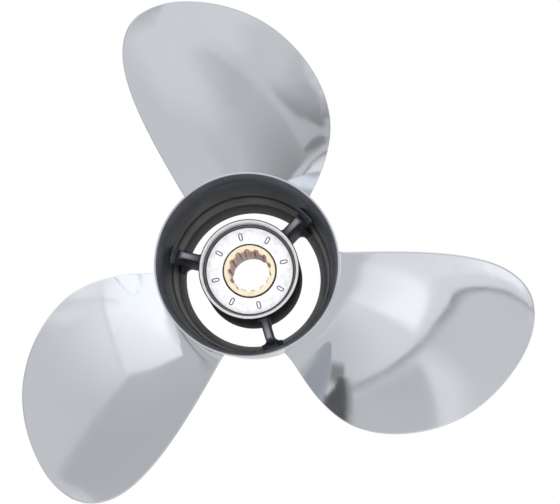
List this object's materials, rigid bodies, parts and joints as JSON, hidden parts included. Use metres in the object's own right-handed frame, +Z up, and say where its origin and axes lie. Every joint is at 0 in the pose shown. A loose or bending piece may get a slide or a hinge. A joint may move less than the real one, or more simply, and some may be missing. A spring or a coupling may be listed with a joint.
{
  "type": "boat propeller",
  "caption": "Right-hand through-hub-exhaust boat propeller: polished skewed blades on a double-wall hub with a rubber bush and a splined brass sleeve.",
  "frame": {"origin": "on the shaft axis at half the hub's length, inside the splined sleeve", "axes": "Y along the propeller shaft, +Y forward (towards the gearcase), -Y aft (towards the nut); +Z up with blade_1 pointing up; +X to starboard"},
  "size_m": [0.3035, 0.12, 0.2992],
  "materials": {
    "polished_steel": "stainless steel, mirror polished outside; the barrel's bore is left dark and satin",
    "dark_casting": "stainless casting with a dark charcoal satin skin; machined bright rim",
    "bush_rubber": "black moulded rubber",
    "plate_metal": "pale mottled zinc-grey",
    "sleeve_brass": "turned and broached, satin"
  },
  "bodies": {
    "sleeve": {"drive_sleeve": "sleeve_brass"},
    "bush": {"rubber_bush": "bush_rubber", "bush_plate_aft": "plate_metal", "bush_plate_forward": "plate_metal", "bush_tie_bars": "plate_metal"},
    "propeller": {"outer_barrel": "polished_steel", "inner_barrel": "dark_casting", "rib_1": "dark_casting", "rib_2": "dark_casting", "rib_3": "dark_casting", "blade_1": "polished_steel", "blade_2": "polished_steel", "blade_3": "polished_steel"}
  },
  "joints": [
    {"name": "bush_windup", "type": "hinge", "parent": "sleeve", "child": "bush", "pos_m": [0, 0, 0], "axis": [0, 1, 0], "range_deg": [-10, 10], "stiffness_Nm_per_rad": 400},
    {"name": "hub_slip", "type": "hinge", "parent": "bush", "child": "propeller", "pos_m": [0, 0, 0], "axis": [0, 1, 0], "continuous": true}
  ]
}
